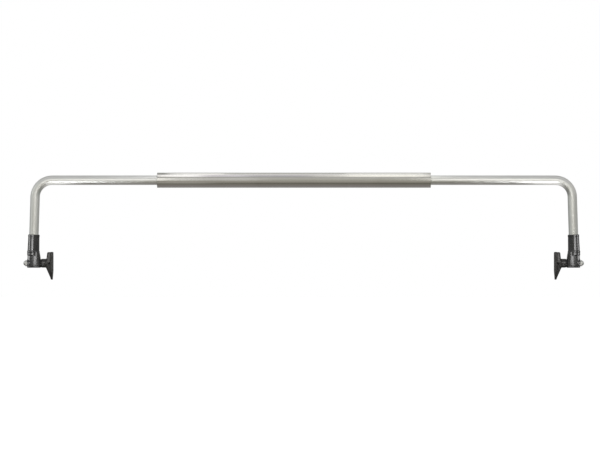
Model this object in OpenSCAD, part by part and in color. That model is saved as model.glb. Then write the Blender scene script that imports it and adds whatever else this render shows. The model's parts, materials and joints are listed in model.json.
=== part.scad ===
// Telescoping swing-over bar. Two bent tubes slide in a thick centre tube,
// and each hangs in a pivoting elbow on a side bracket.
// Origin: on the pivot axis, midway between the two bracket faces.
// +X along the bar, +Y to the rear, +Z up.

/* [Span] */
// Distance between the flat faces of the two brackets
span = 1700; // [1500:10:1900]
// Height of the bar's axis above the pivot axis
bar_rise = 281; // [220:1:420]
// How far the centre tube sits to the left of the middle
centre_shift = 33; // [0:1:60]

/* [Centre tube] */
// Outer diameter of the centre tube
grip_d = 50.8; // [48:0.1:60]
// Length of the centre tube
grip_len = 926; // [880:1:1100]
// Wall of the centre tube
grip_wall = 1.5; // [1.2:0.1:2]

/* [Bent tubes] */
// Outer diameter of the bent tubes
tube_d = 31.75; // [28:0.05:34]
// Wall of the bent tubes
tube_wall = 1.5; // [1.2:0.1:2]
// Centre-line radius of the bend
bend_r = 58; // [50:1:90]
// Length of each bent tube inside the centre tube
insertion = 400; // [300:5:410]
// Distance from bracket face to leg axis, at the pivot
leg_out = 66.5; // [66:0.5:70]

/* [Pivot] */
// Diameter of the pivot bolt
bolt_d = 12; // [10:1:12]
// Running clearance of the bolt in its bushes, on the radius
run_gap = 0.05; // [0.02:0.01:0.1]
// Outer diameter of the pivot bushes
bush_d = 16; // [15:0.5:18]
// Diameter of the bracket's hub
hub_d = 30; // [26:1:30]
// Thickness across the flats of the bolt head and the cap nut
bolt_af = 18; // [16:0.5:19]

/* [Bracket] */
// Width of the mounting plate
plate_w = 68; // [64:1:80]
// Thickness of the mounting plate
plate_t = 6; // [5:0.5:8]
// Top of the bracket above the pivot axis
plate_up = 37.5; // [35:0.5:42]
// Tip of the bracket below the pivot axis
plate_down = 55; // [52:0.5:65]
// Screw hole spacing across the plate
hole_dy = 50; // [48:1:52]
// Screw hole spacing up the plate
hole_dz = 44; // [40:1:44]
// Screw hole diameter
hole_d = 6.5; // [5:0.5:7]
// Width of the bracket's central body
body_w = 33; // [32:1:36]

/* [Hidden] */
$fn = 96;

eps = 0.01;
splay = 1.75298;                         // outward lean of each leg, in degrees
grip_r = grip_d / 2;
grip_ri = grip_r - grip_wall;
tube_r = tube_d / 2;
tube_ri = tube_r - tube_wall;
bolt_r = bolt_d / 2;
face_x = span / 2;                       // flat face of the right bracket
leg_x = face_x + leg_out;                // leg axis at the height of the pivot
grip_x0 = -centre_shift - grip_len / 2;  // left end of the centre tube
grip_x1 = -centre_shift + grip_len / 2;  // right end of the centre tube

// stations along the pivot axis, measured out from the bracket face
hub_end = 37;
washer_t = 2;
flange_t = 2;
knuckle_in = hub_end + washer_t + flange_t;
knuckle_out = 86;
recess = 3.5;
outer_flange_t = 1.7;
outer_washer_t = 2;
nut_in = knuckle_out - recess + outer_flange_t + outer_washer_t;
nut_h = 13;
head_h = 7.5;

// elbow
socket_top = 97;
socket_bottom = 24;
socket_r_top = 18.7;
socket_r_low = 20.4;
knuckle_half = 20;                       // half the depth of the knuckle, front to back
knuckle_low = 15.2;                      // how far it reaches below the pivot
knuckle_top = 40;
boss_r = 14.8;
screw_up = 62;
screw_seat = 19.75;

// locking screws
lock_in = 22;
end_bush_len = 60;
end_recess = 1;

// bend
bend_z = bar_rise - bend_r;
bend_x = leg_x - (bend_r + sin(splay) * bend_z) / cos(splay);
leg_len = (bend_z + sin(splay) * bend_r) / cos(splay) - socket_bottom - 0.5;

// outward normal of the tangent from circle a to circle b, each [x, y, r], on an outline that runs anticlockwise
function side_n(a, b) =
    let (d = [b[0] - a[0], b[1] - a[1]], l = norm(d), u = d / l, s = (a[2] - b[2]) / l)
    [u[1], -u[0]] * sqrt(1 - s * s) + u * s;

// points of a convex outline that wraps the circles c, with a round corner at each
function wrap(c) = [
    for (i = [0 : len(c) - 1])
        let (k = c[i], p = side_n(c[(i + len(c) - 1) % len(c)], k), q = side_n(k, c[(i + 1) % len(c)]),
             a = atan2(p[1], p[0]), turn = (atan2(q[1], q[0]) - a + 360) % 360, steps = k[2] > 0 ? ceil(turn / 7.5) : 0)
        for (j = [0 : steps])
            [k[0], k[1]] + k[2] * [cos(a + turn * j / max(steps, 1)), sin(a + turn * j / max(steps, 1))]];

// the right side as it is, the left side as its mirror image
module side(left) {
    if (left) mirror([1, 0, 0]) children();
    else children();
}

// stand on the leg's axis, +Z up the leg
module on_leg() {
    translate([leg_x, 0, 0]) rotate([0, -splay, 0]) children();
}

// lie on the pivot axis, +Z outwards from the bracket face
module on_pivot(out = 0) {
    translate([face_x + out, 0, 0]) rotate([0, 90, 0]) children();
}

// a flat outline drawn as [y, z] becomes a solid from x0 to x0 + t
module along_x(x0, t) {
    translate([x0, 0, 0]) rotate([90, 0, 90]) linear_extrude(t) children();
}

// a flat outline drawn as [x, z] becomes a solid of width w about y = 0
module along_y(w) {
    rotate([90, 0, 0]) translate([0, 0, -w / 2]) linear_extrude(w) children();
}

module ring(r_out, r_in, h, c = 0.4) {
    rotate_extrude() polygon([[r_in, 0], [r_out - c, 0], [r_out, c], [r_out, h - c], [r_out - c, h], [r_in, h]]);
}

// ---- bar ----

module centre_tube() {
    color([0.74, 0.73, 0.71]) difference() {
        translate([grip_x0, 0, bar_rise]) rotate([0, 90, 0])
            rotate_extrude() polygon([
                [grip_ri + 0.4, 0], [grip_r - 0.6, 0], [grip_r, 0.6], [grip_r, grip_len - 0.6],
                [grip_r - 0.6, grip_len], [grip_ri + 0.4, grip_len], [grip_ri, grip_len - 0.4], [grip_ri, 0.4]]);
        for (x = [grip_x0 + lock_in, grip_x1 - lock_in])
            translate([x, grip_ri - 4, bar_rise]) rotate([-90, 0, 0]) cylinder(r = 3.2, h = 10);
    }
}

// the bush that fills the gap between centre tube and bent tube, at x from a to b
module end_bush(a, b, screw_x) {
    color([0.82, 0.82, 0.8]) difference() {
        translate([a, 0, bar_rise]) rotate([0, 90, 0])
            rotate_extrude() polygon([
                [tube_r + 0.075, 0.8], [tube_r + 0.875, 0], [grip_ri - 0.65, 0], [grip_ri - 0.05, 0.6],
                [grip_ri - 0.05, b - a - 0.6], [grip_ri - 0.65, b - a], [tube_r + 0.875, b - a], [tube_r + 0.075, b - a - 0.8]]);
        translate([screw_x, 10, bar_rise]) rotate([-90, 0, 0]) cylinder(r = 3.05, h = 20);
    }
}
module left_end_bush() end_bush(grip_x0 + end_recess, grip_x0 + end_recess + end_bush_len, grip_x0 + lock_in);
module right_end_bush() end_bush(grip_x1 - end_recess - end_bush_len, grip_x1 - end_recess, grip_x1 - lock_in);

// button-head screw that clamps the bent tube; its tip stops just short of it
module button_screw(shank_r, shank_len, head_r, head_h) {
    difference() {
        union() {
            translate([0, 0, -shank_len]) rotate_extrude()
                polygon([[0, 0], [shank_r - 0.6, 0], [shank_r, 0.6], [shank_r, shank_len + eps], [0, shank_len + eps]]);
            intersection() {
                cylinder(r = head_r, h = head_h);
                translate([0, 0, head_h - 1.35 * head_r]) sphere(r = 1.35 * head_r);
            }
        }
        translate([0, 0, head_h - 2.2]) cylinder(r = 2 / cos(30), h = 4, $fn = 6);
    }
}
module lock_screw(x) {
    color([0.7, 0.7, 0.7]) translate([x, grip_r + 0.1, bar_rise]) rotate([-90, 0, 0])
        button_screw(3, grip_r + 0.1 - tube_r - 0.4, 5.25, 3.3);
}
module left_lock_screw() lock_screw(grip_x0 + lock_in);
module right_lock_screw() lock_screw(grip_x1 - lock_in);

// ---- arms ----

// hollow sections that meet face to face
module pipe(h) {
    difference() {
        cylinder(r = tube_r, h = h);
        translate([0, 0, -1]) cylinder(r = tube_ri, h = h + 2);
    }
}
module bent_pipe() {
    for (a = [[0, 80], [80, 10 - splay]])
        rotate([90, 0, 0]) rotate([0, 0, splay]) rotate_extrude(angle = a[1], start = a[0]) translate([bend_r, 0]) difference() {
            circle(r = tube_r);
            circle(r = tube_ri);
        }
}

// one bent tube; end_x is where its inner end lies, in the right-hand frame
module bent_tube(end_x) {
    color([0.8, 0.8, 0.78]) translate([bend_x, 0, bend_z]) difference() {
        union() {
            translate([end_x - bend_x, 0, bend_r]) rotate([0, 90, 0]) pipe(bend_x - end_x);
            bent_pipe();
            rotate([0, -splay, 0]) translate([bend_r, 0, -leg_len]) pipe(leg_len);
        }
        rotate([0, -splay, 0]) translate([bend_r, 5, -leg_len + screw_up - socket_bottom - 0.5])
            rotate([-90, 0, 0]) cylinder(r = 3.1, h = 20);
    }
}
plug_t = 14;
left_end = -(grip_x0 + insertion) + plug_t;   // inner ends of the tubes, each in its own side's frame
right_end = grip_x1 - insertion + plug_t;
module left_tube() side(true) bent_tube(left_end);
module right_tube() side(false) bent_tube(right_end);

// the plug in the inner end of a bent tube, which guides it inside the centre tube
module guide_plug(end_x) {
    color([0.15, 0.15, 0.16]) translate([end_x - plug_t, 0, bar_rise]) rotate([0, 90, 0])
        rotate_extrude() polygon([
            [0, 0], [grip_ri - 1.3, 0], [grip_ri - 0.3, 1], [grip_ri - 0.3, 4.5], [grip_ri - 2, 5], [grip_ri - 2, 9],
            [grip_ri - 0.3, 9.5], [grip_ri - 0.3, plug_t - 1], [grip_ri - 1.3, plug_t], [tube_ri - 0.1, plug_t],
            [tube_ri - 0.1, plug_t + 28], [tube_ri - 1.6, plug_t + 30], [0, plug_t + 30]]);
}
module left_guide_plug() side(true) guide_plug(left_end);
module right_guide_plug() side(false) guide_plug(right_end);

// the elbow: an upright socket for the tube over a knuckle that turns on the pivot
module elbow() {
    xi = face_x + knuckle_in;
    xo = face_x + knuckle_out;
    color([0.16, 0.16, 0.17]) difference() {
        union() {
            on_leg() translate([0, 0, knuckle_top - 12]) rotate_extrude() polygon([
                [0, 0], [socket_r_low, 0], [socket_r_top, socket_top - knuckle_top + 12 - 1.5],
                [socket_r_top - 1.5, socket_top - knuckle_top + 12], [0, socket_top - knuckle_top + 12]]);
            intersection() {
                along_x(xi, xo - xi) polygon(wrap([
                    [-knuckle_half + 8.8, 8 - knuckle_low, 8], [knuckle_half - 8.8, 8 - knuckle_low, 8],
                    [knuckle_half, 30, 0], [knuckle_half, knuckle_top, 0], [-knuckle_half, knuckle_top, 0], [-knuckle_half, 30, 0]]));
                translate([0, 0, -30]) linear_extrude(90) polygon([
                    [xi - 1, -13], [xi + 6, -21], [xo - 10, -21], [xo + 1, -9],
                    [xo + 1, 9], [xo - 10, 21], [xi + 6, 21], [xi - 1, 13]]);
                along_y(60) polygon([
                    [xi - 1, -30], [xo + 1, -30], [xo + 1, 50], [xi + 6.5, 50], [xi - 1, 20]]);
            }
            // bosses at both ends of the pivot bore
            on_pivot(knuckle_in) cylinder(r = boss_r, h = 14);
            on_pivot(knuckle_out - 14) cylinder(r = boss_r, h = 14);
        }
        // socket for the tube
        on_leg() translate([0, 0, socket_bottom]) cylinder(r = tube_r + 0.1, h = 90);
        on_leg() translate([0, 0, socket_top - 1]) cylinder(r1 = tube_r + 0.1, r2 = tube_r + 1.1, h = 1.01);
        // pivot bore and the recess under the washer
        on_pivot(knuckle_in - 1) cylinder(r = bush_d / 2 + 0.03, h = 60);
        on_pivot(knuckle_out - recess) cylinder(r = 13, h = 10);
        // rear screw
        on_leg() translate([0, 5, screw_up]) rotate([-90, 0, 0]) cylinder(r = 3.05, h = 30);
    }
}
module left_elbow() side(true) elbow();
module right_elbow() side(false) elbow();

module elbow_screw() {
    color([0.7, 0.7, 0.7]) on_leg() translate([0, screw_seat, screw_up]) rotate([-90, 0, 0])
        button_screw(3, 9, 5.25, 3);
}
module left_elbow_screw() side(true) elbow_screw();
module right_elbow_screw() side(false) elbow_screw();

// flanged bushes, pressed into the knuckle from either side
module flanged_bush(flange_r, flange_h, len) {
    color([0.1, 0.1, 0.1]) rotate_extrude() polygon([
        [bolt_r + run_gap, 0], [flange_r - 0.4, 0], [flange_r, 0.4], [flange_r, flange_h],
        [bush_d / 2, flange_h], [bush_d / 2, flange_h + len - 0.5], [bush_d / 2 - 0.5, flange_h + len],
        [bolt_r + run_gap, flange_h + len]]);
}
module inner_bush() on_pivot(knuckle_in - flange_t) flanged_bush(13.5, flange_t, 19);
module outer_bush() on_pivot(knuckle_out - recess + outer_flange_t) mirror([0, 0, 1]) flanged_bush(12, outer_flange_t, 19);
module left_inner_bush() side(true) inner_bush();
module right_inner_bush() side(false) inner_bush();
module left_outer_bush() side(true) outer_bush();
module right_outer_bush() side(false) outer_bush();

// ---- brackets ----

module bracket() {
    h = hole_dz / 2;
    color([0.2, 0.2, 0.2]) difference() {
        union() {
            // mounting plate, shaped like a shield
            along_x(face_x, plate_t) polygon(wrap([
                [-plate_w / 2 + 8, -24, 8], [0, -plate_down + 14, 14], [plate_w / 2 - 8, -24, 8],
                [plate_w / 2 - 8, plate_up - 8, 8], [-plate_w / 2 + 8, plate_up - 8, 8]]));
            // wedge-shaped body
            along_y(body_w) polygon(wrap([
                [face_x, plate_up, 0], [face_x, -plate_down, 0],
                [face_x + 3.5, -plate_down + 2.5, 2.5], [face_x + 18.5, -12, 4.5], [face_x + 14.5, plate_up - 4, 4]]));
            // hub
            on_pivot(plate_t / 2) ring(hub_d / 2, 0, hub_end - plate_t / 2, 0.8);
        }
        // pivot bolt hole and the pocket that holds its head
        on_pivot(-1) cylinder(r = bolt_r + 0.1, h = 60);
        on_pivot(-1) cylinder(r = (bolt_af / 2 + 0.2) / cos(30), h = head_h + 1.8, $fn = 6);
        // countersunk screw holes
        for (y = [-1, 1], z = [-1, 1]) translate([face_x, y * hole_dy / 2, z * h]) rotate([0, 90, 0]) {
            translate([0, 0, -1]) cylinder(r = hole_d / 2, h = 12);
            translate([0, 0, plate_t - 3]) cylinder(r1 = hole_d / 2, r2 = hole_d / 2 + 3.01, h = 3.01);
        }
    }
}
module left_bracket() side(true) bracket();
module right_bracket() side(false) bracket();

module pivot_bolt() {
    color([0.72, 0.72, 0.71]) on_pivot(0.8) union() {
        intersection() {
            cylinder(r = bolt_af / 2 / cos(30), h = head_h, $fn = 6);
            rotate_extrude() polygon([[0, 0], [9.2, 0], [11, 1.1], [11, head_h], [0, head_h]]);
        }
        rotate_extrude() polygon([[0, 1], [bolt_r, 1], [bolt_r, nut_in + 7.2 - 1], [bolt_r - 1, nut_in + 7.2], [0, nut_in + 7.2]]);
    }
}
module left_pivot_bolt() side(true) pivot_bolt();
module right_pivot_bolt() side(false) pivot_bolt();

module thrust_washer() color([0.1, 0.1, 0.1]) on_pivot(hub_end) ring(14.5, bolt_r + 0.3, washer_t, 0.3);
module left_thrust_washer() side(true) thrust_washer();
module right_thrust_washer() side(false) thrust_washer();

module outer_washer() color([0.75, 0.75, 0.75]) on_pivot(nut_in - outer_washer_t) ring(12, bolt_r + 0.3, outer_washer_t, 0.3);
module left_outer_washer() side(true) outer_washer();
module right_outer_washer() side(false) outer_washer();

// cap nut: a hexagon with a domed, closed end
module cap_nut() {
    dome = 8.8;
    color([0.8, 0.8, 0.8]) on_pivot(nut_in) difference() {
        union() {
            intersection() {
                cylinder(r = bolt_af / 2 / cos(30), h = 6.5, $fn = 6);
                rotate_extrude() polygon([[0, 0], [9.3, 0], [10.6, 0.8], [10.6, 5.6], [9, 6.5], [0, 6.5]]);
            }
            intersection() {
                translate([0, 0, nut_h - dome]) sphere(r = dome);
                translate([0, 0, 2]) cylinder(r = dome + 1, h = nut_h);
            }
        }
        translate([0, 0, -1]) cylinder(r = bolt_r + 0.03, h = 9.6);
    }
}
module left_cap_nut() side(true) cap_nut();
module right_cap_nut() side(false) cap_nut();

centre_tube();
left_end_bush();
right_end_bush();
left_lock_screw();
right_lock_screw();
left_tube();
left_guide_plug();
left_elbow();
left_elbow_screw();
left_inner_bush();
left_outer_bush();
left_bracket();
left_pivot_bolt();
left_thrust_washer();
left_outer_washer();
left_cap_nut();
right_tube();
right_guide_plug();
right_elbow();
right_elbow_screw();
right_inner_bush();
right_outer_bush();
right_bracket();
right_pivot_bolt();
right_thrust_washer();
right_outer_washer();
right_cap_nut();
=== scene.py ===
import json
import math

import bmesh
import bpy
import numpy as np
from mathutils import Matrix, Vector


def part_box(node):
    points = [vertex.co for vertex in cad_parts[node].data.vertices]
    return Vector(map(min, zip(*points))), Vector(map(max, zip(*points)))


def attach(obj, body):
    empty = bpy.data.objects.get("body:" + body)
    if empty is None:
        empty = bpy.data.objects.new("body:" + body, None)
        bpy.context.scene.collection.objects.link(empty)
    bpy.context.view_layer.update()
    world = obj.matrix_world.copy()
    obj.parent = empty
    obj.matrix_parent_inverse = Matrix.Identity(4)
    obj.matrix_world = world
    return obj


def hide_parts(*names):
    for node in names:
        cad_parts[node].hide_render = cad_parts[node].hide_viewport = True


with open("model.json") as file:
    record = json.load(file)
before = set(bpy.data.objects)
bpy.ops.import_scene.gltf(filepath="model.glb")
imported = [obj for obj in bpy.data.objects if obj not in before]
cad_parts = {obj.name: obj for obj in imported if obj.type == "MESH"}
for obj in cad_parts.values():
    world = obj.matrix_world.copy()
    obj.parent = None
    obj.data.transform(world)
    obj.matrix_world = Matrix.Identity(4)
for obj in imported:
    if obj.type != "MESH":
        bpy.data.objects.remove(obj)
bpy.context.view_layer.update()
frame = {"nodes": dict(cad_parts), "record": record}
nodes = frame["nodes"]
MM = 0.001


# ---------------------------------------------------------------- dimensions, in mm, right-hand side

def extents(node):
    lo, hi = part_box(node)
    return np.array(lo) / MM, np.array(hi) / MM


b_lo, b_hi = extents("right_bracket")
e_lo, e_hi = extents("right_elbow")
t_lo, t_hi = extents("right_tube")
l_lo, l_hi = extents("left_tube")
g_lo, g_hi = extents("centre_tube")

FACE = b_lo[0]                       # flat face of the right bracket
HUB_END = b_hi[0]                    # end of its hub
PLATE_UP, PLATE_DOWN, PLATE_HALF = b_hi[2], -b_lo[2], b_hi[1]
KNUCKLE_IN, KNUCKLE_OUT = FACE + 41.0, FACE + 86.0
LEG_X = FACE + 66.5                  # leg axis at the height of the pivot
LEAN = math.radians(1.75298)
SIN, COS = math.sin(LEAN), math.cos(LEAN)
GRIP_R = (g_hi[2] - g_lo[2]) / 2
AXIS_Z = (g_hi[2] + g_lo[2]) / 2
TUBE_R, TUBE_RI = 15.875, 14.375
BEND_R = 58.0
BEND_Z = AXIS_Z - BEND_R
BEND_X = LEG_X - (BEND_R + SIN * BEND_Z) / COS
LEG_LEN = (BEND_Z + SIN * BEND_R) / COS - 24.5
SOCKET_TOP = 97.0
SCREW_UP = 62.0


# ---------------------------------------------------------------- mesh from a distance field

def smin(a, b, k):
    h = np.clip(0.5 + 0.5 * (b - a) / k, 0, 1)
    return b * (1 - h) + a * h - k * h * (1 - h)


def smax(a, b, k):
    return -smin(-a, -b, k)


def step(x, a, b):
    t = np.clip((x - a) / (b - a), 0, 1)
    return t * t * (3 - 2 * t)


def poly_distance(u, v, pts):
    """signed distance from points (u, v) to a closed outline, negative inside"""
    best = np.full(u.shape, 1e9)
    sign = np.ones(u.shape)
    n = len(pts)
    for i in range(n):
        ax, ay = pts[i]
        bx, by = pts[i - 1]
        ex, ey = bx - ax, by - ay
        wx, wy = u - ax, v - ay
        t = np.clip((wx * ex + wy * ey) / (ex * ex + ey * ey), 0, 1)
        dx, dy = wx - ex * t, wy - ey * t
        best = np.minimum(best, dx * dx + dy * dy)
        c1, c2, c3 = v >= ay, v < by, ex * wy > ey * wx
        sign = np.where((c1 & c2 & c3) | (~c1 & ~c2 & ~c3), -sign, sign)
    return sign * np.sqrt(best)


def wrap(circles):
    """outline around circles (x, y, r), anticlockwise"""
    out = []
    n = len(circles)

    def normal(a, b):
        dx, dy = b[0] - a[0], b[1] - a[1]
        l = math.hypot(dx, dy)
        s = (a[2] - b[2]) / l
        c = math.sqrt(1 - s * s)
        return (dy / l * c + dx / l * s, -dx / l * c + dy / l * s)

    for i in range(n):
        k = circles[i]
        p, q = normal(circles[i - 1], k), normal(k, circles[(i + 1) % n])
        a = math.atan2(p[1], p[0])
        turn = (math.atan2(q[1], q[0]) - a) % (2 * math.pi)
        steps = max(1, math.ceil(turn / math.radians(8))) if k[2] > 0 else 1
        for j in range(steps + 1):
            if k[2] == 0 and j:
                break
            t = a + turn * j / steps
            out.append((k[0] + k[2] * math.cos(t), k[1] + k[2] * math.sin(t)))
    return out


def field_mesh(f, lo, hi, h, relax=2):
    """quads on the zero surface of f(x, y, z) in the box lo..hi, with cells of size h"""
    lo, hi = np.array(lo, float), np.array(hi, float)
    n = np.ceil((hi - lo) / h).astype(int) + 1
    ax = [lo[i] + h * np.arange(n[i]) for i in range(3)]
    V = np.empty(n)
    Y, Z = np.meshgrid(ax[1], ax[2], indexing="ij")
    for i, x in enumerate(ax[0]):
        V[i] = f(np.full(Y.shape, x), Y, Z)
    cells = n - 1
    cnt = np.zeros(cells, np.int16)
    acc = np.zeros((3, *cells))
    crossings = []
    for a in range(3):
        b, c = (a + 1) % 3, (a + 2) % 3
        s0, s1 = [slice(None)] * 3, [slice(None)] * 3
        s0[a], s1[a] = slice(0, -1), slice(1, None)
        va, vb = V[tuple(s0)], V[tuple(s1)]
        cross = (va < 0) != (vb < 0)
        t = np.where(cross, va / np.where(cross, va - vb, 1), 0)
        pos = [g.astype(float) for g in np.indices(cross.shape)]
        pos[a] = pos[a] + t
        for ob in (0, 1):
            for oc in (0, 1):
                s = [slice(None)] * 3
                s[b], s[c] = slice(ob, ob + cells[b]), slice(oc, oc + cells[c])
                m = cross[tuple(s)]
                cnt += m
                for d in range(3):
                    acc[d] += np.where(m, pos[d][tuple(s)], 0)
        crossings.append((a, b, c, cross, va < 0))
    act = cnt > 0
    verts = lo + h * np.stack([acc[d][act] / cnt[act] for d in range(3)], 1)
    idx = np.full(cells, -1)
    idx[act] = np.arange(act.sum())
    quads = []
    for a, b, c, cross, neg in crossings:
        e = np.argwhere(cross)
        e = e[(e[:, b] > 0) & (e[:, b] < n[b] - 1) & (e[:, c] > 0) & (e[:, c] < n[c] - 1)]
        db, dc = np.zeros(3, int), np.zeros(3, int)
        db[b], dc[c] = 1, 1
        q = np.stack([idx[tuple((e - db - dc).T)], idx[tuple((e - dc).T)], idx[tuple(e.T)], idx[tuple((e - db).T)]], 1)
        inside = neg[tuple(e.T)]
        q[~inside] = q[~inside][:, ::-1]
        quads.append(q)
    quads = np.concatenate(quads)

    def project(p, times):
        for _ in range(times):
            d = f(p[:, 0], p[:, 1], p[:, 2])
            g = np.empty_like(p)
            for k in range(3):
                o = np.zeros(3)
                o[k] = 0.03
                a, b = p + o, p - o
                g[:, k] = (f(a[:, 0], a[:, 1], a[:, 2]) - f(b[:, 0], b[:, 1], b[:, 2])) / 0.06
            move = -g * (d / np.maximum((g * g).sum(1), 0.2))[:, None]
            size = np.linalg.norm(move, axis=1)
            p = p + move * np.minimum(1, 0.5 * h / np.maximum(size, 1e-9))[:, None]
        return p

    verts = project(verts, 3)
    edges = np.concatenate([quads[:, [i, (i + 1) % 4]] for i in range(4)])
    for _ in range(relax):
        total, count = np.zeros_like(verts), np.zeros(len(verts))
        np.add.at(total, edges[:, 0], verts[edges[:, 1]])
        np.add.at(count, edges[:, 0], 1)
        ok = count > 0
        verts[ok] += 0.5 * (total[ok] / count[ok][:, None] - verts[ok])
        verts = project(verts, 2)
    return verts, quads


def new_object(name, verts_mm, faces, mirror=False, smooth=True):
    v = np.array(verts_mm, float) * MM
    faces = [list(map(int, q)) for q in faces]
    if mirror:
        v = v * np.array([-1, 1, 1])
        faces = [q[::-1] for q in faces]
    me = bpy.data.meshes.new(name)
    me.from_pydata(v.tolist(), [], faces)
    me.validate()
    me.update()
    bm = bmesh.new()
    bm.from_mesh(me)
    if bm.calc_volume(signed=True) < 0:
        bmesh.ops.reverse_faces(bm, faces=bm.faces)
    bm.to_mesh(me)
    bm.free()
    if smooth:
        me.polygons.foreach_set("use_smooth", [True] * len(me.polygons))
    ob = bpy.data.objects.new(name, me)
    bpy.context.scene.collection.objects.link(ob)
    return ob


# ---------------------------------------------------------------- elbow

KNUCKLE = wrap([(-12.6, -7.2, 8), (12.6, -7.2, 8), (22, 30, 0), (22, 60, 0), (-22, 60, 0), (-22, 30, 0)])


def elbow_field(x, y, z):
    dx = x - LEG_X
    v = -dx * SIN + z * COS                      # up the leg
    u = dx * COS + z * SIN                       # across it, outwards
    r = np.sqrt(u * u + y * y)
    rp = np.sqrt(y * y + z * z)                  # from the pivot axis
    # socket, with a low rolled rim
    R = 20.4 - 1.7 * (v - 28) / 69 + 0.6 * step(v, 88.5, 90.0)
    socket = smax(smax(r - R, v - SOCKET_TOP, 1.6), 27 - v, 2.0)
    # knuckle: an upright block, rounded underneath, its crown set towards the hub
    cx = KNUCKLE_IN + 11.0
    ex = x - cx
    a = np.where(ex > 0, 36.0, 24.0)
    plan = (np.sqrt((ex / a) ** 2 + (y / 20.2) ** 2) - 1) * 20.2
    mid = (KNUCKLE_IN + KNUCKLE_OUT) / 2
    plan = smax(plan, np.abs(x - mid) - (KNUCKLE_OUT - KNUCKLE_IN) / 2, 4.0)
    knuckle = smax(poly_distance(y, z, KNUCKLE), plan, 2.5)
    knuckle = smax(knuckle, z - 39.6, 1.2)
    inner = ((KNUCKLE_IN - x) * 30 + (z - 20) * 7.5) / 30.92
    knuckle = smax(knuckle, inner, 5.0)
    # flat cut on the outer front and rear corners, above the boss
    for sy in (-1, 1):
        cut = ((x - KNUCKLE_OUT) * 0.66 + (sy * y - 6.6) * 0.75) + 0.04 * (z - 15)
        knuckle = smax(knuckle, cut, 1.2)
    # rim where the socket stands on the knuckle
    rim = smax(smax(r - 21.0, np.abs(v - 38.6) - 2.2, 1.5), 19 - r, 0.8)
    knuckle = smin(knuckle, rim, 1.2)
    # round bosses at both ends of the pivot bore
    for x0, x1 in ((KNUCKLE_IN, KNUCKLE_IN + 14), (KNUCKLE_OUT - 14, KNUCKLE_OUT)):
        boss = smax(rp - 14.8, np.abs(x - (x0 + x1) / 2) - (x1 - x0) / 2, 1.3)
        knuckle = smin(knuckle, boss, 1.6)
    d = smin(socket, knuckle, 2.4)
    # pad for the rear screw
    rs = np.sqrt(u * u + (v - SCREW_UP) ** 2)
    pad = smax(rs - 8.0, np.abs(y - 17.0) - 2.7, 1.0)
    d = smin(d, pad, 1.6)
    # holes
    mouth = TUBE_R + 0.12 + np.maximum(0, v - (SOCKET_TOP - 1.4))
    d = smax(d, -smax(r - mouth, 24 - v, 0.3), 0.5)
    d = smax(d, -(rp - 8.03), 0.5)
    d = smax(d, -smax(rp - 13.0, (KNUCKLE_OUT - 3.5) - x, 0.3), 0.5)
    d = smax(d, -smax(rs - 3.1, 4 - y, 0.3), 0.3)
    return d


# ---------------------------------------------------------------- bracket

SHIELD = wrap([(-PLATE_HALF + 8, -24, 8), (0, -PLATE_DOWN + 14, 14), (PLATE_HALF - 8, -24, 8),
               (PLATE_HALF - 8, PLATE_UP - 8, 8), (-PLATE_HALF + 8, PLATE_UP - 8, 8)])
WEDGE = wrap([(0, PLATE_UP, 0), (0, -PLATE_DOWN, 0), (3.5, -PLATE_DOWN + 2.5, 2.5), (18.5, -12, 4.5), (14.5, PLATE_UP - 4, 4)])


def bracket_field(x, y, z):
    o = x - FACE
    rp = np.sqrt(y * y + z * z)
    plate = smax(poly_distance(y, z, SHIELD), o - 6.0, 2.6)
    ay = np.abs(y)
    half = 16.5 - 0.17 * np.maximum(0, z - 9) - 0.20 * np.maximum(0, -z - 8) - 0.05 * o
    body = smax(poly_distance(o, z, WEDGE), ay - half, 5.0)
    d = smin(plate, body, 3.0)
    rib = smax(smax(np.abs(z) - (3.0 - 0.05 * o), ay - 30.0, 1.5), o - (6.4 + np.maximum(0, 30.0 - ay) * 0.62), 1.6)
    d = smin(d, rib, 2.4)
    hub = smax(rp - 15.0, o - (HUB_END - FACE), 1.8)
    d = smin(d, hub, 3.6)
    d = smax(d, -o, 0.9)
    for sy in (-25.0, 25.0):
        for sz in (-22.0, 22.0):
            rh = np.sqrt((y - sy) ** 2 + (z - sz) ** 2)
            d = smax(d, -(rh - (3.25 + np.clip(o - 3.0, 0, 3.1))), 0.4)
    d = smax(d, -(rp - 6.1), 0.4)
    hexa = np.maximum(ay, ay * 0.5 + np.abs(z) * 0.8660254) - 9.2
    d = smax(d, -smax(hexa, o - 9.3, 0.3), 0.4)
    return d


# ---------------------------------------------------------------- tubes

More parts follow.
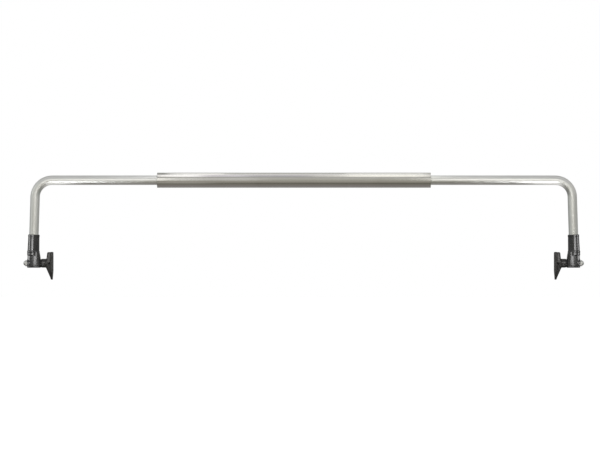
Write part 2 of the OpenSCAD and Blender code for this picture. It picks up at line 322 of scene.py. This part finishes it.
def tube_mesh(end_x, seg=112, bend_steps=56):
    """hollow bent tube, right-hand side, as rings swept along its axis"""
    path = [(end_x, AXIS_Z, -1.0, 0.0, 0.0)]     # x, z, direction along the leg-wards path, bend share
    out = []
    # points: x, z, tangent x, tangent z, ovality
    out.append((end_x, AXIS_Z, 1.0, 0.0, 0.0))
    span = BEND_X - end_x
    for k in range(1, 13):
        out.append((end_x + span * k / 13, AXIS_Z, 1.0, 0.0, 0.0))
    total = math.pi / 2 - LEAN
    for k in range(bend_steps + 1):
        a = math.pi / 2 - total * k / bend_steps
        oval = math.sin(math.pi * k / bend_steps) ** 0.7 if 0 < k < bend_steps else 0.0
        out.append((BEND_X + BEND_R * math.cos(a), BEND_Z + BEND_R * math.sin(a), math.sin(a), -math.cos(a), oval))
    tx, tz = out[-1][2], out[-1][3]
    x0, z0 = out[-1][0], out[-1][1]
    for k in range(1, 7):
        s = LEG_LEN * k / 6
        out.append((x0 + tx * s, z0 + tz * s, tx, tz, 0.0))
    rings = []

    def ring(p, r, back=0.0):
        x, z, tx, tz, oval = p
        x, z = x + tx * back, z + tz * back
        nx, nz = -tz, tx                          # towards the outside of the bend
        pts = []
        for i in range(seg):
            a = 2 * math.pi * i / seg
            rn = r * math.cos(a) * (1 - 0.014 * oval)
            ry = r * math.sin(a) * (1 + 0.008 * oval)
            pts.append((x + nx * rn, ry, z + nz * rn))
        return pts

    c = 0.35
    first, last = out[0], out[-1]
    rings.append(ring(first, TUBE_R - c))
    rings.append(ring(first, TUBE_R - 0.3 * c, 0.3 * c))
    rings.append(ring(first, TUBE_R, c))
    rings.append(ring(first, TUBE_R, c + 0.2))
    for p in out[1:-1]:
        rings.append(ring(p, TUBE_R))
    rings.append(ring(last, TUBE_R, -c - 0.2))
    rings.append(ring(last, TUBE_R, -c))
    rings.append(ring(last, TUBE_R - 0.3 * c, -0.3 * c))
    rings.append(ring(last, TUBE_R - c))
    rings.append(ring(last, TUBE_RI + 0.2))
    rings.append(ring(last, TUBE_RI, -0.2))
    for p in reversed(out[1:-1]):
        rings.append(ring(p, TUBE_RI))
    rings.append(ring(first, TUBE_RI, 0.2))
    rings.append(ring(first, TUBE_RI + 0.2))
    verts = [v for r in rings for v in r]
    faces = []
    m = len(rings)
    for j in range(m):
        a, b = j * seg, ((j + 1) % m) * seg
        for i in range(seg):
            k = (i + 1) % seg
            faces.append((a + i, a + k, b + k, b + i))
    return verts, faces


def straighten(ob):
    """store where each point of a bent tube would be if the tube were straight, for the grain to follow"""
    turn = math.pi / 2 - LEAN
    a1 = math.pi / 2 - turn
    ex, ez = BEND_X + BEND_R * math.cos(a1), BEND_Z + BEND_R * math.sin(a1)
    tx, tz = math.sin(a1), -math.cos(a1)
    out = []
    for v in ob.data.vertices:
        x, y, z = abs(v.co.x) * 1000, v.co.y * 1000, v.co.z * 1000
        if x <= BEND_X:
            run, off = x, z - AXIS_Z
        else:
            a = math.atan2(z - BEND_Z, x - BEND_X)
            if a >= a1:
                run, off = BEND_X + BEND_R * (math.pi / 2 - a), math.hypot(x - BEND_X, z - BEND_Z) - BEND_R
            else:
                run = BEND_X + BEND_R * turn + (x - ex) * tx + (z - ez) * tz
                off = (z - ez) * tx - (x - ex) * tz
        out += [run / 1000, y / 1000, off / 1000]
    ob.data.attributes.new("run", "FLOAT_VECTOR", "POINT").data.foreach_set("vector", out)


def lathe_x(profile, z, seg=160):
    """closed profile of (x, r) turned about a line along X at height z"""
    verts, faces = [], []
    n = len(profile)
    for i in range(seg):
        a = 2 * math.pi * i / seg
        for x, r in profile:
            verts.append((x, r * math.cos(a), z + r * math.sin(a)))
    for i in range(seg):
        k = (i + 1) % seg
        for j in range(n):
            m = (j + 1) % n
            faces.append((i * n + j, i * n + m, k * n + m, k * n + j))
    return verts, faces


def drill(ob, centre_mm, direction, radius, depth):
    """a true hole, cut and applied"""
    bm = bmesh.new()
    bmesh.ops.create_cone(bm, cap_ends=True, segments=48, radius1=radius * MM, radius2=radius * MM, depth=depth * MM)
    me = bpy.data.meshes.new("cutter")
    bm.to_mesh(me)
    bm.free()
    cut = bpy.data.objects.new("cutter", me)
    bpy.context.scene.collection.objects.link(cut)
    cut.rotation_mode = "QUATERNION"
    cut.rotation_quaternion = Vector(direction).to_track_quat("Z", "Y")
    cut.location = Vector(centre_mm) * MM
    mod = ob.modifiers.new("hole", "BOOLEAN")
    mod.object, mod.operation, mod.solver = cut, "DIFFERENCE", "EXACT"
    bpy.context.view_layer.update()
    dep = bpy.context.evaluated_depsgraph_get()
    fresh = bpy.data.meshes.new_from_object(ob.evaluated_get(dep))
    ob.modifiers.remove(mod)
    old = ob.data
    ob.data = fresh
    bpy.data.meshes.remove(old)
    bpy.data.objects.remove(cut)
    bpy.data.meshes.remove(me)
    ob.data.polygons.foreach_set("use_smooth", [True] * len(ob.data.polygons))


def sharp_by_angle(ob, degrees=35):
    ob.data.set_sharp_from_angle(angle=math.radians(degrees))


# ---------------------------------------------------------------- materials

class Nodes:
    """short names for the shader nodes that the materials use"""

    def __init__(self, name, along=None):
        self.mat = bpy.data.materials.new(name)
        self.mat.use_nodes = True
        self.t = self.mat.node_tree
        self.b = self.t.nodes["Principled BSDF"]
        if along:
            a = self.t.nodes.new("ShaderNodeAttribute")
            a.attribute_name = along
            self.coord = a.outputs["Vector"]
        else:
            self.coord = self.t.nodes.new("ShaderNodeTexCoord").outputs["Object"]

    def put(self, a, b):
        self.t.links.new(a, b)

    def scaled(self, s, rot=(0, 0, 0)):
        m = self.t.nodes.new("ShaderNodeMapping")
        m.inputs["Scale"].default_value = s
        m.inputs["Rotation"].default_value = rot
        self.put(self.coord, m.inputs["Vector"])
        return m.outputs[0]

    def noise(self, vec, scale, detail=4.0, rough=0.55, distort=0.0):
        n = self.t.nodes.new("ShaderNodeTexNoise")
        n.inputs["Scale"].default_value = scale
        n.inputs["Detail"].default_value = detail
        n.inputs["Roughness"].default_value = rough
        n.inputs["Distortion"].default_value = distort
        self.put(vec, n.inputs["Vector"])
        return n.outputs["Fac"]

    def voronoi(self, vec, scale, feature="F1"):
        n = self.t.nodes.new("ShaderNodeTexVoronoi")
        n.feature = feature
        n.inputs["Scale"].default_value = scale
        self.put(vec, n.inputs["Vector"])
        return n.outputs["Distance"]

    def span(self, v, a, b, lo, hi):
        n = self.t.nodes.new("ShaderNodeMapRange")
        for k, x in zip(("From Min", "From Max", "To Min", "To Max"), (a, b, lo, hi)):
            n.inputs[k].default_value = x
        self.put(v, n.inputs["Value"])
        return n.outputs[0]

    def math(self, op, a, b=None):
        n = self.t.nodes.new("ShaderNodeMath")
        n.operation = op
        for i, x in enumerate((a, b)):
            if x is None:
                continue
            if isinstance(x, (int, float)):
                n.inputs[i].default_value = x
            else:
                self.put(x, n.inputs[i])
        return n.outputs[0]

    def mix(self, f, a, b):
        n = self.t.nodes.new("ShaderNodeMix")
        n.data_type = "RGBA"
        self.put(f, n.inputs["Factor"])
        for s, x in (("A", a), ("B", b)):
            sock = [i for i in n.inputs if i.name == s and i.type == "RGBA"][0]
            if isinstance(x, tuple):
                sock.default_value = (*x, 1)
            else:
                self.put(x, sock)
        return [o for o in n.outputs if o.type == "RGBA"][0]

    def bump(self, height, distance, strength=1.0, normal=None):
        n = self.t.nodes.new("ShaderNodeBump")
        n.inputs["Distance"].default_value = distance
        n.inputs["Strength"].default_value = strength
        self.put(height, n.inputs["Height"])
        if normal is not None:
            self.put(normal, n.inputs["Normal"])
        return n.outputs[0]

    def set(self, **kw):
        for k, v in kw.items():
            sock = self.b.inputs[k.replace("_", " ")]
            if isinstance(v, (int, float)):
                sock.default_value = v
            elif isinstance(v, tuple):
                sock.default_value = (*v, 1) if len(v) == 3 else v
            else:
                self.put(v, sock)
        return self


def metal(name, dark, light, rough, grain, grain_scale, smudge=0.05, grain_bump=0.00003, along=None):
    """steel with a fine grain stretched along grain's long axis, soft smudges and hairline scratches"""
    n = Nodes(name, along)
    fine = n.noise(n.scaled(grain), grain_scale, 5, 0.6)
    wide = n.noise(n.scaled((1, 1, 1)), 9.0, 3, 0.5, 0.4)
    spots = n.noise(n.scaled((1, 1, 1)), 160.0, 3, 0.6)
    scratch = n.voronoi(n.scaled(tuple(g * 0.35 for g in grain), (0.0, 0.05, 0.08)), grain_scale, "DISTANCE_TO_EDGE")
    scratch = n.span(scratch, 0.0, 0.012, 1.0, 0.0)
    tone = n.math("ADD", n.math("MULTIPLY", fine, 0.45), n.math("MULTIPLY", wide, 0.55))
    n.set(Metallic=1.0, Base_Color=n.mix(n.span(tone, 0.3, 0.7, 0, 1), dark, light))
    r = n.math("ADD", n.span(fine, 0.25, 0.75, rough - 0.035, rough + 0.035), n.span(wide, 0.3, 0.7, -smudge, smudge))
    r = n.math("ADD", r, n.span(spots, 0.62, 0.8, 0.0, 0.08))
    r = n.math("ADD", r, n.math("MULTIPLY", scratch, 0.05))
    n.set(Roughness=r)
    h = n.math("SUBTRACT", fine, n.math("MULTIPLY", scratch, 0.25))
    n.set(Normal=n.bump(h, grain_bump))
    return n.mat


def moulded(name, dark, light, rough, bump_scale, bump, spec=0.5, grain=0.04, dusty=0.1):
    """moulded plastic or coated metal: fine skin texture, slight flow lines, dust in the roughness"""
    n = Nodes(name)
    skin = n.noise(n.scaled((1, 1, 1)), bump_scale, 4, 0.6)
    wide = n.noise(n.scaled((1, 1, 1)), 22.0, 3, 0.5, 0.6)
    dust = n.noise(n.scaled((1, 1, 1)), 420.0, 2, 0.6)
    n.set(Metallic=0.0, Base_Color=n.mix(n.span(wide, 0.35, 0.7, 0, 1), dark, light), Specular_IOR_Level=spec)
    r = n.math("ADD", n.span(wide, 0.3, 0.7, rough - grain, rough + grain), n.span(dust, 0.6, 0.8, 0.0, dusty))
    n.set(Roughness=r)
    h = n.math("ADD", skin, n.math("MULTIPLY", wide, 1.2))
    n.set(Normal=n.bump(h, bump))
    return n.mat


POLISHED = metal("polished_steel_tube", (0.55, 0.535, 0.51), (0.66, 0.65, 0.63), 0.17, (2.5, 260, 260), 4.0, 0.03, 0.000012)
SATIN = metal("satin_steel_tube", (0.74, 0.74, 0.72), (0.84, 0.84, 0.825), 0.38, (3, 220, 220), 4.0, 0.04, 0.00002)
SATIN_RUN = metal("satin_steel_bent_tube", (0.74, 0.74, 0.72), (0.84, 0.84, 0.825), 0.38, (3, 220, 220), 4.0, 0.04, 0.00002, "run")
BRIGHT = metal("bright_fastener", (0.60, 0.60, 0.60), (0.74, 0.74, 0.735), 0.30, (40, 40, 40), 8.0, 0.05, 0.00001)
GLOSS = moulded("gloss_black_moulding", (0.014, 0.014, 0.015), (0.020, 0.020, 0.021), 0.18, 700.0, 0.000006, 0.6, 0.02, 0.03)
CAST = moulded("black_coated_casting", (0.012, 0.0115, 0.011), (0.021, 0.020, 0.019), 0.38, 900.0, 0.00004, 0.42, 0.03, 0.05)
NYLON_G = moulded("grey_nylon", (0.14, 0.14, 0.14), (0.19, 0.19, 0.19), 0.45, 600.0, 0.00002)
NYLON_B = moulded("black_nylon", (0.02, 0.02, 0.02), (0.035, 0.035, 0.035), 0.45, 600.0, 0.00002)
BY_SLOT = {"polished_steel": POLISHED, "satin_steel": SATIN, "gloss_black": GLOSS, "black_casting": CAST,
           "bright_fastener": BRIGHT, "grey_nylon": NYLON_G, "black_nylon": NYLON_B}
SLOT_OF = {s["node"]: s["material_slot"] for s in frame["record"]["subparts"]}


def dress(ob, mat):
    ob.data.materials.clear()
    ob.data.materials.append(mat)


for name, ob in nodes.items():
    dress(ob, BY_SLOT[SLOT_OF[name]])


# ---------------------------------------------------------------- pieces that replace CAD nodes

def place(ob, body, node, mat):
    dress(ob, mat)
    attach(ob, body)
    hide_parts(node)
    return ob


# centre tube
half, ri = GRIP_R, GRIP_R - 1.5
x0, x1 = g_lo[0], g_hi[0]
RIM = 0.6
prof = [(x0, ri + 0.75), (x0, half - RIM - 0.1)]
prof += [(x0 + RIM * (1 - math.cos(a)), half - RIM * (1 - math.sin(a))) for a in (math.pi * k / 16 for k in range(9))]
prof += [(x0 + RIM + 0.15, half), (x0 + 1.5, half), (x0 + 4, half)]
prof += [(x0 + 4 + (x1 - x0 - 8) * k / 24, half) for k in range(1, 24)]
prof += [(x1 - 4, half), (x1 - 1.5, half), (x1 - RIM - 0.15, half)]
prof += [(x1 - RIM * (1 - math.cos(a)), half - RIM * (1 - math.sin(a))) for a in (math.pi * k / 16 for k in range(8, -1, -1))]
prof += [(x1, half - RIM - 0.1), (x1, ri + 0.75), (x1 - 0.1, ri + 0.45), (x1 - 0.45, ri + 0.1), (x1 - 0.8, ri), (x1 - 1.2, ri)]
prof += [(x1 - 1.2 - (x1 - x0 - 2.4) * k / 12, ri) for k in range(1, 12)]
prof += [(x0 + 1.2, ri), (x0 + 0.8, ri), (x0 + 0.45, ri + 0.1), (x0 + 0.1, ri + 0.45)]
v, f = lathe_x(prof, AXIS_Z)
bar = new_object("centre_tube_polished", v, f)
for sx in (x0 + 22, x1 - 22):
    drill(bar, (sx, ri + 1, AXIS_Z), (0, 1, 0), 3.2, 10)
sharp_by_angle(bar, 30)
place(bar, "centre_bar", "centre_tube", POLISHED)

for side, lo, mirror in (("left", -l_hi[0], True), ("right", t_lo[0], False)):
    v, f = tube_mesh(lo)
    ob = new_object(side + "_tube_bent", v, f, mirror)
    sgn = -1 if mirror else 1
    drill(ob, (sgn * (LEG_X - SIN * SCREW_UP), 15, COS * SCREW_UP), (0, 1, 0), 3.1, 10)
    sharp_by_angle(ob, 30)
    straighten(ob)
    place(ob, side + "_arm", side + "_tube", SATIN_RUN)

H = 0.85
ev, eq = field_mesh(elbow_field, e_lo - 2, e_hi + 2, H)
bv, bq = field_mesh(bracket_field, b_lo - 2, b_hi + 2, H)
for side, mirror in (("left", True), ("right", False)):
    ob = new_object(side + "_elbow_moulding", ev, eq, mirror)
    place(ob, side + "_arm", side + "_elbow", GLOSS)
    ob = new_object(side + "_bracket_casting", bv, bq, mirror)
    place(ob, side + "_mount", side + "_bracket", CAST)


# ---------------------------------------------------------------- camera, light, floor

scene = bpy.context.scene
scene.view_settings.view_transform = "Standard"
scene.view_settings.look = "None"
scene.view_settings.exposure = 0
scene.view_settings.gamma = 1

cam_data = bpy.data.cameras.new("camera")
cam_data.lens = 180
cam_data.sensor_width = 36
cam_data.clip_end = 200
cam = bpy.data.objects.new("camera", cam_data)
scene.collection.objects.link(cam)
WIDE = 2.032
cam.location = (-0.0125, -WIDE * cam_data.lens / 36, 0.1294)
cam.rotation_euler = (math.pi / 2, 0, 0)
scene.camera = cam


def light(name, loc, target, size, power, color=(1, 1, 1)):
    d = bpy.data.lights.new(name, "AREA")
    d.shape = "RECTANGLE"
    d.size, d.size_y = size
    d.energy = power
    d.color = color
    o = bpy.data.objects.new(name, d)
    scene.collection.objects.link(o)
    o.location = loc
    o.rotation_mode = "QUATERNION"
    o.rotation_quaternion = (Vector(loc) - Vector(target)).to_track_quat("Z", "Y")
    return o


# gridded softboxes, which light only what they are aimed at
SPREAD = {"low_l": 26, "low_r": 26, "over_": 60, "under_": 90}
# flagged softboxes, which light only the pieces named
ONLY = {"glint_": "elbow_moulding", "crest_": "elbow_moulding", "facet_": "elbow_moulding",
        "mount_": "bracket_casting", "dome_": "cap_nut"}


def card(name, loc, target, size, radiance, color=(1, 1, 1)):
    """an area light given by how bright its surface looks; the camera doesn't see it"""
    o = light(name, loc, target, size, radiance * math.pi * size[0] * size[1], color)
    o.visible_camera = False
    o.data.spread = math.radians(SPREAD.get(name[:-1], 180))
    if name[:-1] in ONLY:
        group = bpy.data.collections.new(name + "_subject")
        full = ("left_" if name[-1] == "l" else "right_") + ONLY[name[:-1]]
        group.objects.link(nodes[full] if full in nodes else bpy.data.objects[full])
        o.light_linking.receiver_collection = group
    return o


CARDS = [
    # name, place, aimed at, width and height, brightness, colour
    ("top_1", (-0.450, -0.26, 0.93), (-0.450, 0.0, 0.28), (0.16, 0.42), 1.17, (1.00, 1.00, 0.99)),
    ("over_1", (-0.385, 0.28, 0.93), (-0.385, 0.0, 0.28), (0.20, 0.52), 0.14, (1.00, 0.99, 1.00)),
    ("over_2", (-0.08, 0.28, 0.93), (-0.08, 0.0, 0.28), (0.42, 0.52), 0.06, (1, 1, 1)),
    ("over_3", (0.30, 0.28, 0.93), (0.30, 0.0, 0.28), (0.31, 0.52), 0.12, (1.00, 1.00, 0.97)),
    ("top_2", (-0.290, -0.26, 0.93), (-0.290, 0.0, 0.28), (0.16, 0.42), 0.48, (0.92, 0.88, 1.00)),
    ("top_3", (-0.090, -0.26, 0.93), (-0.090, 0.0, 0.28), (0.24, 0.42), 0.20, (0.88, 0.88, 1.00)),
    ("top_4", (0.090, -0.26, 0.93), (0.090, 0.0, 0.28), (0.12, 0.42), 0.40, (1.00, 0.99, 0.88)),
    ("top_5", (0.305, -0.26, 0.93), (0.305, 0.0, 0.28), (0.31, 0.42), 1.00, (1.00, 1.00, 0.90)),
    ("face_l1", (-1.02, -1.0, 0.50), (-0.88, 0.0, 0.28), (0.30, 0.70), 0.58, (0.96, 0.97, 1.00)),
    ("face_l2", (-0.66, -1.0, 0.50), (-0.58, 0.0, 0.28), (0.32, 0.70), 0.96, (1.00, 1.00, 1.00)),
    ("face_l3", (-0.32, -1.0, 0.50), (-0.28, 0.0, 0.28), (0.32, 0.70), 0.20, (0.88, 0.88, 1.00)),
    ("low_l1", (-0.98, -0.75, -0.42), (-0.85, 0.0, 0.28), (0.36, 0.50), 0.22, (0.95, 0.97, 1.00)),
    ("fill_l", (-0.46, -0.75, -0.42), (-0.43, 0.0, 0.28), (0.24, 0.50), 0.14, (1.00, 0.99, 0.98)),
    ("under_l", (-0.850, 0.01, 0.11), (-0.845, 0.0, 0.28), (0.08, 0.16), 0.27, (1, 1, 1)),
    ("side_l", (-2.00, -0.35, 0.20), (-0.92, 0.0, 0.15), (0.70, 1.00), 0.33, (1.00, 0.97, 0.92)),
    ("glint_l", (-1.055, -0.58, 0.030), (-0.915, 0.0, 0.020), (0.16, 0.12), 7.5, (1, 1, 1)),
    ("crest_l", (-1.185, -0.58, 0.115), (-0.914, 0.0, 0.070), (0.42, 0.14), 5.5, (1, 1, 1)),
    ("facet_l", (-2.66, 0.00, 0.0), (-0.920, 0.0, 0.02), (0.75, 0.66), 5.0, (1, 1, 1)),
    ("mount_l", (-0.89, -0.90, 0.33), (-0.862, 0.0, 0.020), (0.50, 0.34), 6.5, (1.00, 0.98, 0.96)),
    ("face_r1", (1.02, -1.0, 0.50), (0.88, 0.0, 0.28), (0.30, 0.70), 0.70, (0.96, 0.96, 1.00)),
    ("face_r2", (0.66, -1.0, 0.50), (0.58, 0.0, 0.28), (0.32, 0.70), 1.21, (1.00, 1.00, 0.97)),
    ("low_r1", (0.98, -0.75, -0.42), (0.85, 0.0, 0.28), (0.36, 0.50), 0.24, (0.95, 0.96, 1.00)),
    ("under_r", (0.840, 0.01, 0.11), (0.835, 0.0, 0.28), (0.10, 0.16), 0.27, (1, 1, 1)),
    ("glint_r", (1.055, -0.58, 0.030), (0.915, 0.0, 0.020), (0.16, 0.12), 7.5, (1, 1, 1)),
    ("dome_l", (-1.300, -0.58, 0.080), (-0.945, 0.0, 0.0), (0.55, 0.45), 0.55, (1, 1, 1)),
    ("dome_r", (1.300, -0.58, 0.080), (0.945, 0.0, 0.0), (0.55, 0.45), 0.55, (1, 1, 1)),
    ("crest_r", (1.185, -0.58, 0.115), (0.914, 0.0, 0.070), (0.42, 0.14), 5.5, (1, 1, 1)),
    ("facet_r", (2.66, 0.00, 0.0), (0.920, 0.0, 0.02), (0.75, 0.66), 5.0, (1, 1, 1)),
    ("mount_r", (0.89, -0.90, 0.33), (0.862, 0.0, 0.020), (0.50, 0.34), 6.5, (1.00, 0.98, 0.96)),
]
for c in CARDS:
    card(*c)

# surroundings: brightness by direction round the X axis (0 = front, 90 = overhead, -90 = below, 180 = behind),
# with separate fields at the far left and far right; the camera itself sees white paper
BANDS = [(-180, (0.20, 0.20, 0.19)), (-130, (0.38, 0.37, 0.35)), (-100, (0.28, 0.27, 0.27)),
         (-75, (0.29, 0.27, 0.24)), (-50, (0.17, 0.17, 0.14)), (-28, (0.43, 0.41, 0.36)), (-8, (0.47, 0.46, 0.41)),
         (12, (0.61, 0.61, 0.55)), (35, (0.65, 0.65, 0.62)), (60, (0.41, 0.41, 0.41)), (85, (0.79, 0.78, 0.80)),
         (115, (0.48, 0.49, 0.47)), (150, (0.24, 0.25, 0.23)), (180, (0.20, 0.20, 0.19))]
SIDES = {"left_low": (0.13, 0.14, 0.13), "left_high": (0.66, 0.68, 0.66),
         "right_low": (0.21, 0.23, 0.21), "right_high": (0.60, 0.59, 0.57)}

world = bpy.data.worlds.new("studio")
scene.world = world
world.use_nodes = True
wt = world.node_tree
wt.nodes.clear()


def wmath(op, a, b=None, c=None):
    n = wt.nodes.new("ShaderNodeMath")
    n.operation = op
    for i, x in enumerate((a, b, c)):
        if isinstance(x, (int, float)):
            n.inputs[i].default_value = x
        elif x is not None:
            wt.links.new(x, n.inputs[i])
    return n.outputs[0]


def wrange(v, a, b):
    n = wt.nodes.new("ShaderNodeMapRange")
    n.interpolation_type = "SMOOTHSTEP"
    n.inputs["From Min"].default_value = a
    n.inputs["From Max"].default_value = b
    wt.links.new(v, n.inputs["Value"])
    return n.outputs[0]


def wmix(f, a, b):
    n = wt.nodes.new("ShaderNodeMix")
    n.data_type = "RGBA"
    wt.links.new(f, n.inputs["Factor"])
    for sock, x in zip([i for i in n.inputs if i.type == "RGBA"], (a, b)):
        wt.links.new(x, sock)
    return [o for o in n.outputs if o.type == "RGBA"][0]


coord = wt.nodes.new("ShaderNodeTexCoord")
sep = wt.nodes.new("ShaderNodeSeparateXYZ")
wt.links.new(coord.outputs["Generated"], sep.inputs[0])
angle = wmath("ARCTAN2", sep.outputs["Z"], wmath("MULTIPLY", sep.outputs["Y"], -1))
ramp = wt.nodes.new("ShaderNodeValToRGB")
ramp.name = "bands"
wt.links.new(wmath("MULTIPLY_ADD", angle, 1 / (2 * math.pi), 0.5), ramp.inputs["Fac"])
cr = ramp.color_ramp
while len(cr.elements) < len(BANDS):
    cr.elements.new(0.5)
for e, (deg, c) in zip(cr.elements, BANDS):
    e.position = (deg + 180) / 360
for e, (deg, c) in zip(cr.elements, BANDS):
    e.color = (*c, 1)
rgb = {}
for k, c in SIDES.items():
    rgb[k] = wt.nodes.new("ShaderNodeRGB")
    rgb[k].name = k
    rgb[k].outputs[0].default_value = (*c, 1)
high = wrange(sep.outputs["Z"], -0.35, 0.35)
left = wmix(high, rgb["left_low"].outputs[0], rgb["left_high"].outputs[0])
right = wmix(high, rgb["right_low"].outputs[0], rgb["right_high"].outputs[0])
sky = wmix(wrange(wmath("MULTIPLY", sep.outputs["X"], -1), 0.45, 0.9), ramp.outputs["Color"], left)
sky = wmix(wrange(sep.outputs["X"], 0.45, 0.9), sky, right)
out = wt.nodes.new("ShaderNodeOutputWorld")
seen = wt.nodes.new("ShaderNodeBackground")
seen.inputs["Color"].default_value = (1, 1, 1, 1)
around = wt.nodes.new("ShaderNodeBackground")
wt.links.new(sky, around.inputs["Color"])
path = wt.nodes.new("ShaderNodeLightPath")
mixs = wt.nodes.new("ShaderNodeMixShader")
wt.links.new(path.outputs["Is Camera Ray"], mixs.inputs[0])
wt.links.new(around.outputs[0], mixs.inputs[1])
wt.links.new(seen.outputs[0], mixs.inputs[2])
wt.links.new(mixs.outputs[0], out.inputs["Surface"])

# floor
me = bpy.data.meshes.new("floor")
s = 30.0
me.from_pydata([(-s, -s, -0.85), (s, -s, -0.85), (s, s, -0.85), (-s, s, -0.85)], [], [(0, 1, 2, 3)])
floor = bpy.data.objects.new("floor", me)
scene.collection.objects.link(floor)
fm = Nodes("pale_floor")
fm.set(Base_Color=fm.mix(fm.noise(fm.scaled((1, 1, 1)), 3.0, 4, 0.5), (0.86, 0.86, 0.86), (0.9, 0.9, 0.9)), Roughness=0.8,
       Emission_Color=(1, 1, 1), Emission_Strength=1.0)
me.materials.append(fm.mat)
floor.visible_glossy = False
floor.visible_diffuse = False
